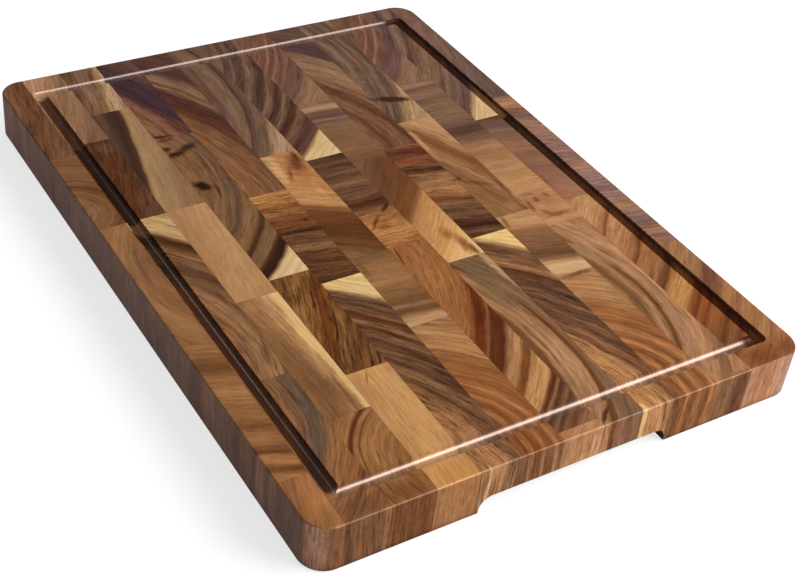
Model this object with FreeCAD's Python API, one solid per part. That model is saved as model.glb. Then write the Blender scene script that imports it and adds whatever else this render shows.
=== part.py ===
import FreeCAD, Part
import os
from FreeCAD import Vector

# End-grain butcher-block cutting board.
# Thirteen rows of hardwood blocks are glued side by side, every block standing on end so that
# its growth rings show on the two large faces.  A round-bottomed juice groove runs round the
# top face, and a finger recess is cut into the underside of each short end.
#
# Frame: X along the board's length, Y across it, Z up.
# Origin: centre of the flat underside.  All sizes in millimetres.

# ---------------------------------------------------------------- driving dimensions
LENGTH = 508.0          # X, 20 in
WIDTH = 368.0           # Y, 14 1/2 in
THICK = 36.0            # Z
CORNER_R = 17.0         # vertical corners of the outline
EDGE_R = 1.5            # sanded round-over along the top and bottom edges

FIRST_ROW = 20.0        # width of the first edge row, on the -Y side
ROW_PITCH = 30.0        # width of every full row; the last row takes what is left

GROOVE_INSET = 23.3     # short end to groove centre line
GROOVE_INSET_LEFT = 25.8    # -Y side to groove centre line
GROOVE_INSET_RIGHT = 21.9   # +Y side to groove centre line
GROOVE_CUTTER_R = 5.0   # ball-nose radius of the groove
GROOVE_DEPTH = 4.2

GRIP_WIDTH = 142.0      # finger recess, along Y
GRIP_HEIGHT = 11.5      # finger recess, up from the underside
GRIP_DEPTH = 22.0       # finger recess, in from the short end
GRIP_R = 9.0            # rounding inside the recess
GRIP_MOUTH_R = 1.0      # eased edge around the recess's mouth

# Joints between blocks in each row, as X positions.  Rows run along X and are named from the
# -Y edge.  Rows e, g, i and l are slices of one glued-up panel, f and j of a second, h and k of
# a third, some of them turned end for end, so their joints repeat.
ROWS = [
    ("a", [-142.0, -51.0, 81.5, 210.0]),
    ("b", [-152.5, -51.0, 130.5]),
    ("c", [-186.5, -52.0, 57.5, 178.0]),
    ("d", [-137.0, 45.5, 147.5]),
    ("e", [-44.0, 62.5]),
    ("f", [-86.5, 47.5, 125.5]),
    ("g", [-69.5, 47.5, 246.5]),
    ("h", [-137.0, -54.0, 78.0]),
    ("i", [-59.5, 61.0]),
    ("j", [-88.0, 47.5, 122.5]),
    ("k", [-137.0, -51.0, 71.0]),
    ("l", [-68.0, 49.0]),
    ("m", [-91.5, 13.5, 122.0]),
]

# ---------------------------------------------------------------- derived
X1 = LENGTH / 2.0
Y1 = WIDTH / 2.0


def board_envelope():
    """Outline with rounded vertical corners, and small round-overs top and bottom."""
    body = Part.makeBox(LENGTH, WIDTH, THICK, Vector(-X1, -Y1, 0))
    upright = [e for e in body.Edges
               if abs(e.Vertexes[0].Z - e.Vertexes[1].Z) > THICK / 2.0]
    body = body.makeFillet(CORNER_R, upright)
    rims = [e for e in body.Edges
            if all(abs(v.Z) < 1e-6 for v in e.Vertexes)
            or all(abs(v.Z - THICK) < 1e-6 for v in e.Vertexes)]
    return body.makeFillet(EDGE_R, rims)


def grip_cutter(side):
    """Solid that is removed for one finger recess; side is +1 or -1 along X."""
    over = 20.0
    box = Part.makeBox(GRIP_DEPTH + over, GRIP_WIDTH, GRIP_HEIGHT + over,
                       Vector(X1 - GRIP_DEPTH, -GRIP_WIDTH / 2.0, -over))
    inner = X1 - GRIP_DEPTH
    chosen = []
    for e in box.Edges:
        a, b = e.Vertexes[0].Point, e.Vertexes[1].Point
        mid = (a + b) * 0.5
        along_x = abs(a.x - b.x) > 1.0
        along_y = abs(a.y - b.y) > 1.0
        along_z = abs(a.z - b.z) > 1.0
        at_top = abs(mid.z - GRIP_HEIGHT) < 1e-6
        at_back = abs(mid.x - inner) < 1e-6
        if (along_x and at_top) or (along_y and at_top and at_back) or (along_z and at_back):
            chosen.append(e)
    box = box.makeFillet(GRIP_R, chosen)
    if side < 0:
        box = box.mirror(Vector(0, 0, 0), Vector(1, 0, 0))
    return box


def groove_cutter():
    """Sweep of a ball-nose cutter round a rectangle: four cylinders and four balls."""
    gx = X1 - GROOVE_INSET
    left = -Y1 + GROOVE_INSET_LEFT
    right = Y1 - GROOVE_INSET_RIGHT
    z = THICK - GROOVE_DEPTH + GROOVE_CUTTER_R
    tools = []
    for y in (left, right):
        tools.append(Part.makeCylinder(GROOVE_CUTTER_R, 2 * gx, Vector(-gx, y, z), Vector(1, 0, 0)))
    for x in (-gx, gx):
        tools.append(Part.makeCylinder(GROOVE_CUTTER_R, right - left, Vector(x, left, z), Vector(0, 1, 0)))
        for y in (left, right):
            tools.append(Part.makeSphere(GROOVE_CUTTER_R, Vector(x, y, z)))
    return tools


def ease_grip_mouth(body, side):
    """Round the edge where a finger recess breaks out through the short end's flat face."""
    x = side * X1
    mouth = []
    for e in body.Edges:
        box = e.BoundBox
        on_face = abs(box.XMin - x) < 1e-4 and abs(box.XMax - x) < 1e-4
        low = box.ZMin > EDGE_R - 1e-4 and box.ZMax < GRIP_HEIGHT + 1e-3
        inside = abs(box.YMin) < GRIP_WIDTH / 2.0 + 1e-3 and abs(box.YMax) < GRIP_WIDTH / 2.0 + 1e-3
        if on_face and low and inside:
            mouth.append(e)
    return body.makeFillet(GRIP_MOUTH_R, mouth)


board = board_envelope()
for side in (1, -1):
    board = board.cut(grip_cutter(side))
    board = ease_grip_mouth(board, side)
for tool in groove_cutter():
    board = board.cut(tool)

# ---------------------------------------------------------------- blocks
os.makedirs("parts", exist_ok=True)
y_low = -Y1 - 1.0
count = 0
for index, (letter, joints) in enumerate(ROWS):
    last = index == len(ROWS) - 1
    y_high = Y1 + 1.0 if last else -Y1 + FIRST_ROW + ROW_PITCH * index
    stops = [-X1 - 1.0] + joints + [X1 + 1.0]
    for n in range(len(stops) - 1):
        cell = Part.makeBox(stops[n + 1] - stops[n], y_high - y_low, THICK + 2.0,
                            Vector(stops[n], y_low, -1.0))
        block = board.common(cell)
        solids = block.Solids
        if len(solids) != 1 or not solids[0].isValid():
            raise RuntimeError("row %s block %d gives %d solids" % (letter, n + 1, len(solids)))
        solids[0].exportStep("parts/row_%s_block_%d.step" % (letter, n + 1))
        count += 1
    y_low = y_high
print("blocks:", count)
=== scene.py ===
import bpy
import math
from mathutils import Matrix, Vector


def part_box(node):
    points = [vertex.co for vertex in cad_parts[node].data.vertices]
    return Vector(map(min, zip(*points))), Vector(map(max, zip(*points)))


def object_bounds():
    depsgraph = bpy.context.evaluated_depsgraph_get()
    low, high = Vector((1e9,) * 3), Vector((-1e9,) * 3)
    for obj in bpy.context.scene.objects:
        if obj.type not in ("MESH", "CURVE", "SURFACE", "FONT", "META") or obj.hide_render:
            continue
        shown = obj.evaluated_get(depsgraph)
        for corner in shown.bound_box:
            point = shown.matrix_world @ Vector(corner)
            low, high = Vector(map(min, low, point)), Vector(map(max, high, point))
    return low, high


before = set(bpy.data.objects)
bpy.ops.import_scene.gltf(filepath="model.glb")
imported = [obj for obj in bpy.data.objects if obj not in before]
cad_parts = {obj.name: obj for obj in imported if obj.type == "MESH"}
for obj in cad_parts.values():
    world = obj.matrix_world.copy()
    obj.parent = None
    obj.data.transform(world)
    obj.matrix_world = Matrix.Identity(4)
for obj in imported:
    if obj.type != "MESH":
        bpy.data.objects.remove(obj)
LO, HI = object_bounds()          # the CAD box
scene = bpy.context.scene

# ------------------------------------------------------------------ chart of the board
# The grain is laid out on a chart 1500 units long: X runs from the far short end to the near
# one, Y runs from the +Y long side (0) down to the -Y long side.  One unit is a third of a mm.
UNIT = (HI.x - LO.x) * 1000.0 / 1500.0
CHART_H = 1088.0


def mm(X, Y):
    """Chart position to the CAD frame, in millimetres."""
    return (LO.x * 1000.0 + X * UNIT, LO.y * 1000.0 + (CHART_H - Y) * UNIT)


def straight(x, y, a, reach=2600.0):
    """A ring centre so far off that the grain looks straight, sloping a degrees down to the right at x, y."""
    s, c = math.sin(math.radians(a)), math.cos(math.radians(a))
    return (x - reach * s, y + reach * c)


# ------------------------------------------------------------------ the blocks
# node: ring centre, tones as (X, Y, (r, g, b)) or (radius, (r, g, b)), then options:
#   coarse, fine, line, cross: strength of the broad, fine, thin-dark and across-the-grain figure
#   warp: how far the rings wander, in chart units
#   spots: (X, Y, half length, half width, turn, colour, softness)
#   edge: how much paler or darker the upright long-grain faces are than the end grain; matched face by face, so it
#       holds partly the long grain's own tone and partly painted sheen (the strong bluish lift on the near-end faces of
#       rows l and m is a painted reflection)
B = {}


def block(name, centre, tones, coarse=0.16, fine=0.14, line=0.25, cross=0.05, warp=5.0, spots=(), edge=(1.0, 1.0, 1.0)):
    B[name] = dict(centre=centre, tones=tones, coarse=coarse, fine=fine, line=line, cross=cross, warp=warp, spots=spots, edge=edge)


def along(y, pairs):
    """Tones given along one level of the chart."""
    return [(x, y, c) for x, c in pairs]



# row a ------------------------------------------------------------
block("row_a_block_1", straight(150, 1058, 12),
      [(150, 1028, (112, 76, 54)), (150, 1040, (110, 72, 50)), (150, 1058, (104, 67, 45)), (150, 1072, (112, 72, 48)), (150, 1088, (118, 80, 55))],
      coarse=0.14, fine=0.238, line=0.3, edge=(1.7, 1.25, 1.15))
block("row_a_block_2", (526, 1112),
      [(200, (122, 80, 54)), (150, (128, 86, 58)), (104, (125, 84, 56)), (94, (104, 66, 40)), (86, (112, 72, 42)), (76, (130, 90, 58)), (60, (122, 86, 56)), (40, (138, 98, 66)), (20, (126, 88, 60))],
      coarse=0.18, line=0.3, edge=(1.15, 0.85, 1))
block("row_a_block_3", (778, 786),
      [(238, (126, 86, 56)), (250, (128, 88, 58)), (262, (136, 94, 62)), (274, (126, 86, 58)), (288, (140, 98, 64)), (300, (150, 106, 70)), (330, (146, 102, 66))],
      coarse=0.16, fine=0.123, line=0.3, edge=(0.85, 0.68, 0.85))
block("row_a_block_4", straight(1180, 1058, -70),
      along(1058, [(990, (142, 98, 62)), (1020, (148, 102, 64)), (1044, (128, 86, 52)), (1062, (106, 68, 40)), (1078, (112, 72, 44)), (1096, (142, 96, 60)), (1135, (156, 108, 66)), (1165, (148, 102, 64)), (1190, (134, 90, 55)), (1215, (144, 98, 60)), (1232, (108, 70, 42)), (1246, (138, 94, 58)), (1272, (152, 106, 66)), (1290, (124, 82, 50)), (1302, (98, 60, 36)), (1313, (150, 104, 64)), (1332, (158, 110, 68)), (1344, (104, 66, 38)), (1352, (112, 72, 44)), (1362, (152, 104, 64))]),
      coarse=0.12, line=0.35, warp=4, edge=(1.05, 0.85, 0.8))
block("row_a_block_5", straight(1430, 1058, 17),
      [(1430, 1028, (168, 116, 74)), (1430, 1042, (160, 106, 66)), (1430, 1055, (164, 110, 68)), (1430, 1070, (152, 100, 62)), (1430, 1088, (142, 94, 62))],
      coarse=0.12, fine=0.101, line=0.3, edge=(0.75, 0.7, 0.85),
      spots=((1476, 1058, 36, 50, 0, (140, 94, 56), 0.9),))
# row b ------------------------------------------------------------
block("row_b_block_1", straight(150, 985, 18),
      [(150, 930, (128, 92, 69)), (150, 950, (143, 105, 77)), (150, 968, (145, 107, 75)), (150, 985, (134, 99, 71)), (150, 1000, (149, 109, 77)), (150, 1018, (158, 116, 83)), (150, 1034, (176, 132, 98))],
      coarse=0.08, fine=0.153, line=0.096)
block("row_b_block_2", straight(450, 985, 16),
      [(450, 938, (94, 62, 44)), (450, 952, (80, 50, 34)), (450, 966, (94, 58, 38)), (450, 982, (88, 48, 31)), (450, 998, (86, 54, 34)), (450, 1016, (76, 47, 30)), (450, 1034, (92, 58, 38))],
      coarse=0.18, fine=0.269, line=0.42,
      spots=((500, 970, 60, 16, 10, (94, 52, 32), 1.0), (330, 960, 26, 26, 0, (98, 70, 50), 0.9)))
block("row_b_block_3", (1040, 1330),
      [(620, (188, 150, 102)), (517, (182, 144, 98)), (510, (118, 82, 54)), (501, (72, 44, 26)), (489, (80, 50, 30)), (478, (112, 78, 52)), (470, (134, 96, 66)), (460, (110, 74, 50)), (446, (128, 90, 60)), (434, (88, 58, 40)), (420, (94, 64, 46)), (411, (124, 88, 58)), (399, (112, 78, 54)), (386, (140, 100, 68)), (366, (146, 104, 68)), (352, (130, 90, 62)), (338, (140, 98, 66)), (322, (126, 86, 58)), (306, (138, 96, 66))],
      coarse=0.16, fine=0.223, line=0.35, warp=6,
      spots=((1060, 950, 50, 5, 14, (114, 78, 54), 0.8), (990, 962, 60, 4, -4, (118, 82, 56), 0.8)))
block("row_b_block_4", (1190, 1272),
      [(236, (138, 96, 64)), (262, (126, 86, 58)), (272, (144, 102, 68)), (284, (130, 90, 60)), (296, (112, 78, 58)), (304, (110, 82, 62)), (312, (100, 78, 62)), (321, (92, 74, 60)), (329, (96, 74, 52)), (336, (128, 90, 60)), (360, (150, 100, 62)), (372, (132, 84, 52)), (385, (146, 96, 58)), (398, (104, 66, 42)), (408, (148, 98, 60)), (440, (126, 78, 48)), (470, (150, 100, 62))],
      coarse=0.16, fine=0.2, line=0.3, edge=(0.98, 1.05, 1.3),
      spots=((1503, 947, 13, 6, 0, (160, 108, 66), 0.6), (1150, 978, 36, 16, 0, (128, 90, 62), 1.0), (1160, 948, 40, 6, 4, (110, 80, 56), 0.9), (1476, 985, 30, 60, 0, (112, 74, 50), 0.9), (1372, 994, 44, 14, 34, (134, 90, 58), 1.0)))
# row c ------------------------------------------------------------
block("row_c_block_1", straight(120, 895, 9),
      [(120, 850, (160, 124, 92)), (120, 862, (176, 140, 106)), (120, 874, (164, 128, 92)), (120, 884, (128, 94, 62)), (120, 896, (124, 88, 64)), (120, 910, (132, 98, 76)), (120, 922, (122, 88, 66)), (120, 936, (98, 68, 50))],
      coarse=0.14, fine=0.223, line=0.24)
block("row_c_block_2", straight(400, 909, 11.5),
      [(400, 846, (141, 104, 73)), (400, 866, (154, 119, 86)), (400, 888, (158, 123, 87)), (400, 902, (165, 130, 91)), (400, 907, (141, 108, 74)), (400, 912, (77, 52, 37)), (400, 926, (64, 43, 33)), (400, 944, (79, 56, 45)), (400, 960, (98, 71, 56)), (400, 985, (73, 50, 37))],
      coarse=0.08, fine=0.07, line=0.1, warp=5)
block("row_c_block_3", straight(760, 895, 8),
      [(760, 850, (176, 130, 86)), (760, 875, (182, 136, 92)), (760, 900, (178, 132, 88)), (760, 920, (172, 126, 84)), (760, 940, (168, 122, 82))],
      coarse=0.045, fine=0.076, line=0.06, cross=0.03)
block("row_c_block_4", straight(1080, 880, -4),
      [(1080, 840, (217, 177, 121)), (1080, 866, (213, 173, 117)), (1080, 872, (184, 138, 91)), (1080, 880, (171, 125, 82)), (1080, 885, (186, 140, 95)), (1080, 890, (163, 117, 74)), (1080, 899, (142, 100, 65)), (1080, 910, (130, 90, 58)), (1080, 926, (120, 83, 52)), (1080, 948, (130, 90, 58)), (1080, 970, (122, 84, 56))],
      coarse=0.14, fine=0.16, line=0.25, warp=6,
      spots=((960, 877, 66, 9, -4, (180, 134, 87), 0.8), (1240, 876, 60, 14, -6, (138, 94, 60), 0.9), (1190, 900, 50, 20, -8, (120, 81, 52), 1.0), (1010, 926, 80, 14, -4, (147, 106, 69), 1.0), (950, 915, 56, 30, 0, (155, 111, 73), 1.0)))
block("row_c_block_5", (1446, 754),
      [(40, (132, 86, 50)), (85, (142, 95, 57)), (104, (134, 88, 52)), (118, (146, 98, 58)), (127, (124, 80, 48)), (134, (144, 98, 60)), (170, (150, 104, 62)), (184, (144, 98, 58)), (188, (112, 66, 36)), (191, (154, 106, 66)), (197, (150, 100, 60)), (201, (92, 50, 28)), (206, (86, 46, 26)), (210, (150, 102, 66)), (226, (142, 94, 58)), (250, (130, 84, 54))],
      coarse=0.14, fine=0.206, line=0.15, cross=0.08, warp=3, edge=(0.79, 0.7, 0.7),
      spots=((1478, 897, 32, 60, 0, (118, 74, 42), 0.9),))
# row d ------------------------------------------------------------
block("row_d_block_1", straight(180, 810, -22, 1500),
      [(180, 700, (95, 65, 59)), (180, 738, (89, 59, 51)), (180, 766, (74, 51, 53)), (180, 786, (70, 49, 53)), (180, 812, (64, 46, 51)), (180, 828, (78, 51, 49)), (180, 838, (113, 72, 57)), (180, 852, (130, 91, 69)), (180, 868, (114, 72, 57)), (180, 884, (132, 91, 69)), (180, 905, (124, 84, 63))],
      coarse=0.16, fine=0.251, line=0.36,
      spots=((322, 778, 56, 22, -12, (97, 61, 51), 0.9), (300, 800, 44, 5, -14, (114, 76, 59), 0.9), (306, 830, 40, 12, -12, (120, 78, 57), 1.0), (337, 832, 8, 24, 4, (76, 46, 33), 0.6)))
block("row_d_block_2", (466, 1174),
      [(320, (126, 86, 58)), (345, (134, 94, 62)), (360, (112, 78, 54)), (368, (132, 94, 64)), (380, (120, 82, 56)), (388, (134, 96, 66)), (396, (106, 76, 56)), (406, (114, 84, 64)), (413, (92, 66, 50)), (424, (124, 88, 62)), (440, (132, 94, 62)), (452, (126, 90, 58)), (459, (80, 54, 34)), (466, (74, 50, 32)), (472, (118, 86, 58)), (484, (110, 80, 56)), (494, (122, 88, 62)), (501, (84, 54, 36)), (508, (56, 34, 20)), (522, (52, 31, 19)), (527, (120, 88, 58)), (531, (210, 172, 126)), (560, (218, 182, 136))],
      coarse=0.14, fine=0.173, line=0.35, warp=4,
      spots=((541, 833, 26, 17, -34, (46, 26, 16), 0.6), (566, 808, 34, 6, 8, (78, 52, 36), 0.9), (480, 792, 90, 5, 3, (92, 66, 48), 0.9), (396, 800, 15, 34, -22, (62, 40, 30), 0.8), (412, 834, 13, 24, -6, (56, 34, 24), 0.7), (386, 844, 10, 14, 18, (64, 40, 28), 0.8), (352, 832, 7, 22, 0, (92, 60, 40), 0.7)))
block("row_d_block_3", straight(1030, 806, 20),
      [(1030, 740, (107, 70, 42)), (1030, 764, (95, 58, 34)), (1030, 778, (117, 78, 46)), (1030, 793, (111, 68, 36)), (1030, 802, (95, 52, 26)), (1030, 812, (97, 54, 28)), (1030, 822, (117, 76, 42)), (1030, 840, (122, 80, 44)), (1030, 858, (130, 89, 51)), (1030, 878, (103, 64, 36))],
      coarse=0.2, fine=0.41, line=0.6, cross=0.14)
block("row_d_block_4", straight(1340, 806, 4),
      [(1340, 758, (186, 136, 86)), (1340, 778, (190, 142, 92)), (1340, 800, (192, 142, 90)), (1340, 820, (188, 138, 86)), (1340, 850, (180, 130, 84))],
      coarse=0.05, fine=0.102, line=0.072, edge=(0.78, 0.72, 0.82),
      spots=((1208, 820, 20, 2.5, 24, (140, 94, 56), 0.7), (1476, 800, 34, 60, 0, (186, 128, 74), 1.0)))
# row e ------------------------------------------------------------
block("row_e_block_1", (620, 1400),
      [(890, (89, 58, 48)), (858, (80, 52, 44)), (848, (101, 72, 58)), (838, (132, 97, 74)), (824, (136, 101, 74)), (814, (101, 72, 54)), (805, (134, 99, 70)), (797, (109, 76, 56)), (786, (82, 52, 42)), (770, (78, 47, 44)), (754, (91, 52, 40)), (739, (97, 58, 40)), (729, (115, 78, 54)), (712, (122, 82, 56)), (700, (128, 87, 58)), (690, (115, 74, 50)), (682, (134, 93, 62)), (662, (126, 84, 54)), (640, (138, 97, 62))],
      coarse=0.12, fine=0.205, line=0.264, warp=6)
block("row_e_block_2", straight(780, 718, -81),
      along(718, [(620, (165, 114, 67)), (652, (171, 118, 69)), (672, (154, 102, 58)), (682, (119, 71, 40)), (694, (150, 102, 61)), (708, (124, 75, 44)), (722, (107, 59, 36)), (744, (117, 71, 42)), (757, (87, 53, 33)), (766, (68, 41, 27)), (778, (105, 71, 46)), (804, (101, 67, 44)), (822, (130, 92, 60)), (834, (107, 71, 46)), (852, (99, 61, 38)), (872, (87, 55, 36)), (896, (101, 67, 42)), (916, (91, 57, 36)), (932, (64, 41, 27))]),
      coarse=0.22, fine=0.325, line=0.48, cross=0.22, warp=8,
      spots=((735, 690, 9, 8, 0, (72, 41, 25), 0.8),))
block("row_e_block_3", (1525, 1197),
      [(780, (220, 184, 126)), (727, (216, 180, 122)), (719, (160, 122, 84)), (711, (100, 70, 50)), (684, (94, 62, 44)), (670, (114, 78, 52)), (660, (84, 46, 28)), (651, (92, 54, 34)), (643, (140, 98, 64)), (636, (132, 90, 58)), (630, (84, 52, 32)), (613, (118, 82, 56)), (597, (82, 52, 36)), (577, (110, 76, 52)), (557, (80, 50, 34)), (540, (122, 86, 58)), (523, (98, 64, 42)), (505, (134, 92, 62)), (488, (144, 100, 66)), (470, (156, 108, 70)), (440, (150, 104, 68))],
      coarse=0.2, fine=0.34, line=0.54, cross=0.18, warp=6, edge=(1.19, 1.22, 1.35),
      spots=((1502, 743, 14, 6, 0, (186, 142, 96), 0.6),))
# row f ------------------------------------------------------------
block("row_f_block_1", (170, 1272),
      [(760, (166, 130, 98)), (716, (156, 122, 94)), (708, (130, 98, 74)), (700, (104, 80, 62)), (690, (114, 88, 68)), (680, (100, 74, 60)), (673, (96, 70, 56)), (668, (78, 54, 42)), (663, (110, 82, 66)), (650, (118, 92, 66)), (642, (124, 92, 74)), (628, (112, 84, 68)), (618, (98, 72, 58)), (606, (106, 76, 62)), (594, (96, 68, 56))],
      coarse=0.10, fine=0.183, line=0.264, warp=4)
block("row_f_block_2", straight(712, 632, -60),
      along(632, [(440, (180, 128, 80)), (560, (176, 124, 78)), (620, (174, 120, 72)), (672, (184, 134, 86)), (696, (176, 126, 80)), (708, (140, 92, 56)), (728, (106, 66, 38)), (765, (98, 60, 34)), (826, (94, 56, 30)), (842, (110, 70, 42)), (856, (96, 58, 32)), (876, (118, 80, 48)), (895, (128, 88, 54)), (960, (128, 88, 54))]),
      coarse=0.12, fine=0.14, line=0.2, warp=6,
      spots=((545, 660, 76, 15, 4, (202, 158, 108), 0.9), (544, 611, 52, 23, 12, (114, 62, 40), 0.95), (520, 600, 26, 8, 6, (88, 48, 32), 0.9), (596, 616, 30, 15, 30, (180, 112, 66), 1.0), (575, 641, 30, 8, 22, (132, 78, 46), 1.0), (655, 612, 34, 10, 0, (190, 138, 86), 1.0)))
block("row_f_block_3", straight(1000, 632, -83),
      along(632, [(890, (116, 84, 54)), (905, (126, 90, 58)), (935, (142, 100, 64)), (980, (150, 106, 70)), (1010, (136, 94, 60)), (1040, (118, 80, 50)), (1054, (112, 76, 48)), (1066, (140, 100, 68)), (1078, (106, 70, 44)), (1086, (110, 74, 46)), (1096, (150, 108, 74)), (1104, (180, 138, 98)), (1120, (178, 138, 98))]),
      coarse=0.08, fine=0.128, line=0.144, warp=5,
      spots=((878, 597, 16, 10, 20, (104, 64, 36), 0.8), (925, 664, 40, 8, 0, (120, 80, 46), 1.0)))
block("row_f_block_4", (1463, 823),
      [(420, (160, 113, 73)), (356, (170, 122, 78)), (318, (166, 117, 74)), (304, (152, 103, 63)), (296, (139, 90, 52)), (270, (135, 84, 48)), (256, (147, 92, 52)), (244, (133, 82, 46)), (232, (143, 90, 50)), (225, (170, 113, 69)), (218, (135, 82, 46)), (207, (124, 74, 40)), (201, (166, 107, 63)), (193, (129, 78, 42)), (182, (120, 73, 40)), (175, (160, 103, 61)), (164, (124, 74, 42)), (150, (145, 94, 57)), (120, (135, 86, 52))],
      coarse=0.14, fine=0.193, line=0.3, warp=5, edge=(1.03, 1.18, 1.6))
# row g ------------------------------------------------------------
block("row_g_block_1", (-60, 1100),
      [(830, (214, 177, 127)), (789, (208, 171, 121)), (782, (156, 119, 83)), (776, (96, 66, 52)), (752, (79, 52, 44)), (740, (98, 68, 54)), (728, (121, 87, 67)), (719, (81, 52, 37)), (706, (71, 43, 33)), (696, (108, 80, 58)), (688, (116, 87, 64)), (679, (85, 56, 48)), (668, (75, 49, 42)), (657, (112, 82, 67)), (649, (123, 91, 73)), (640, (77, 52, 42)), (628, (73, 52, 42)), (618, (102, 74, 60)), (607, (131, 97, 79)), (598, (92, 66, 56)), (585, (83, 60, 50)), (573, (108, 78, 64)), (560, (87, 62, 50)), (548, (114, 84, 69)), (530, (96, 70, 56)), (510, (112, 82, 67)), (480, (104, 76, 62))],
      coarse=0.14, fine=0.231, line=0.42, warp=4)
block("row_g_block_2", straight(720, 542, -84),
      along(542, [(545, (73, 48, 31)), (556, (80, 56, 39)), (570, (100, 69, 48)), (592, (88, 58, 42)), (612, (104, 71, 53)), (634, (96, 63, 46)), (652, (123, 88, 63)), (672, (102, 67, 50)), (698, (110, 77, 57)), (716, (94, 60, 40)), (730, (74, 44, 29)), (744, (86, 52, 33)), (754, (123, 83, 53)), (776, (147, 100, 63)), (800, (157, 104, 61)), (828, (174, 123, 72)), (856, (169, 113, 66)), (890, (157, 102, 59))]),
      coarse=0.18, fine=0.251, line=0.42, cross=0.2, warp=8,
      spots=((762, 515, 22, 7, 52, (69, 40, 26), 0.7), (800, 560, 34, 6, 42, (94, 56, 31), 0.8), (815, 548, 30, 16, 40, (147, 86, 46), 1.0)))
block("row_g_block_3", (829, 1096),
      [(540, (146, 93, 55)), (575, (151, 99, 58)), (600, (147, 95, 55)), (620, (146, 93, 53)), (633, (128, 74, 40)), (639, (97, 48, 25)), (652, (95, 46, 24)), (658, (109, 59, 35)), (663, (128, 82, 51)), (669, (95, 49, 27)), (684, (89, 44, 24)), (693, (83, 42, 24)), (699, (126, 84, 55)), (706, (161, 114, 75)), (722, (169, 120, 78)), (730, (126, 78, 42)), (741, (114, 68, 36)), (748, (167, 118, 75)), (764, (186, 137, 86)), (778, (175, 125, 78)), (785, (97, 55, 33)), (790, (93, 53, 33)), (796, (138, 93, 62)), (802, (81, 48, 31)), (808, (85, 51, 35)), (816, (124, 84, 56)), (824, (85, 51, 35)), (836, (128, 86, 58)), (848, (97, 61, 42)), (862, (136, 93, 64))],
      coarse=0.10, fine=0.184, line=0.3, warp=5,
      spots=((925, 577, 34, 3.5, 9, (107, 63, 35), 0.7),))
block("row_g_block_4", straight(1490, 542, 50),
      [(1490, 500, (176, 126, 86)), (1490, 542, (170, 120, 82)), (1490, 587, (164, 112, 74))],
      coarse=0.12, edge=(1.24, 1.3, 1.4))
# row h ------------------------------------------------------------
block("row_h_block_1", (-200, 1064),
      [(596, (112, 78, 62)), (616, (112, 78, 62))] + along(453, [(-30, (112, 78, 62)), (-10, (106, 74, 60)), (47, (118, 82, 64)), (84, (106, 70, 56)), (102, (138, 98, 80)), (112, (112, 72, 56)), (134, (108, 70, 56)), (146, (142, 102, 82)), (156, (116, 78, 62)), (178, (112, 74, 60)), (192, (124, 88, 70)), (205, (104, 70, 56)), (218, (106, 74, 60)), (263, (104, 76, 62)), (276, (128, 94, 72)), (301, (138, 102, 76)), (337, (138, 104, 76)), (366, (128, 94, 70)), (407, (134, 98, 72))]),
      coarse=0.14, fine=0.16, line=0.25, warp=4)
block("row_h_block_2", straight(460, 452, -86),
      along(452, [(345, (122, 86, 63)), (351, (152, 114, 89)), (360, (169, 131, 103)), (370, (159, 122, 97)), (377, (122, 92, 69)), (392, (105, 78, 61)), (404, (97, 67, 57)), (412, (132, 98, 85)), (420, (113, 84, 71)), (432, (124, 92, 67)), (450, (132, 98, 71)), (480, (124, 88, 63)), (520, (126, 90, 65)), (548, (134, 94, 67)), (568, (122, 82, 59)), (592, (113, 75, 53))]),
      coarse=0.08, fine=0.103, line=0.144, warp=4)
block("row_h_block_3", straight(790, 452, 40),
      along(452, [(560, (116, 80, 56)), (600, (108, 72, 50)), (650, (102, 62, 42)), (700, (108, 68, 42)), (740, (110, 68, 40)), (768, (120, 74, 42)), (782, (134, 86, 50)), (796, (170, 120, 72)), (830, (186, 134, 82)), (880, (190, 138, 84)), (920, (202, 152, 96)), (950, (218, 170, 114)), (1000, (226, 180, 124))]),
      coarse=0.12, fine=0.115, line=0.15, warp=6,
      spots=((938, 431, 46, 15, -4, (150, 94, 52), 0.95), (893, 448, 24, 15, 0, (160, 94, 46), 1.0), (962, 422, 24, 8, 0, (120, 74, 44), 0.9), (872, 424, 26, 9, 0, (206, 150, 98), 1.0)))
block("row_h_block_4", (1267, 962),
      [(470, (116, 76, 50)), (478, (112, 72, 48)), (483, (142, 98, 66)), (489, (170, 122, 84)), (495, (140, 98, 66)), (501, (170, 124, 86)), (509, (148, 106, 74)), (516, (174, 128, 90)), (525, (158, 114, 80)), (532, (166, 120, 82)), (536, (110, 70, 40)), (541, (94, 56, 30)), (546, (118, 82, 54)), (556, (126, 92, 66)), (568, (116, 86, 62)), (584, (124, 92, 66)), (600, (108, 80, 58)), (630, (118, 88, 62))],
      coarse=0.14, fine=0.182, line=0.25, warp=5, edge=(1.37, 1.25, 1.3),
      spots=((1030, 456, 62, 24, -14, (110, 84, 58), 0.9), (1040, 412, 92, 12, -7, (182, 142, 100), 0.7), (1476, 478, 30, 6, 48, (78, 46, 30), 0.7), (1100, 485, 60, 6, -14, (132, 94, 66), 0.9), (1096, 462, 92, 24, -16, (122, 94, 66), 0.8)))
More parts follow.
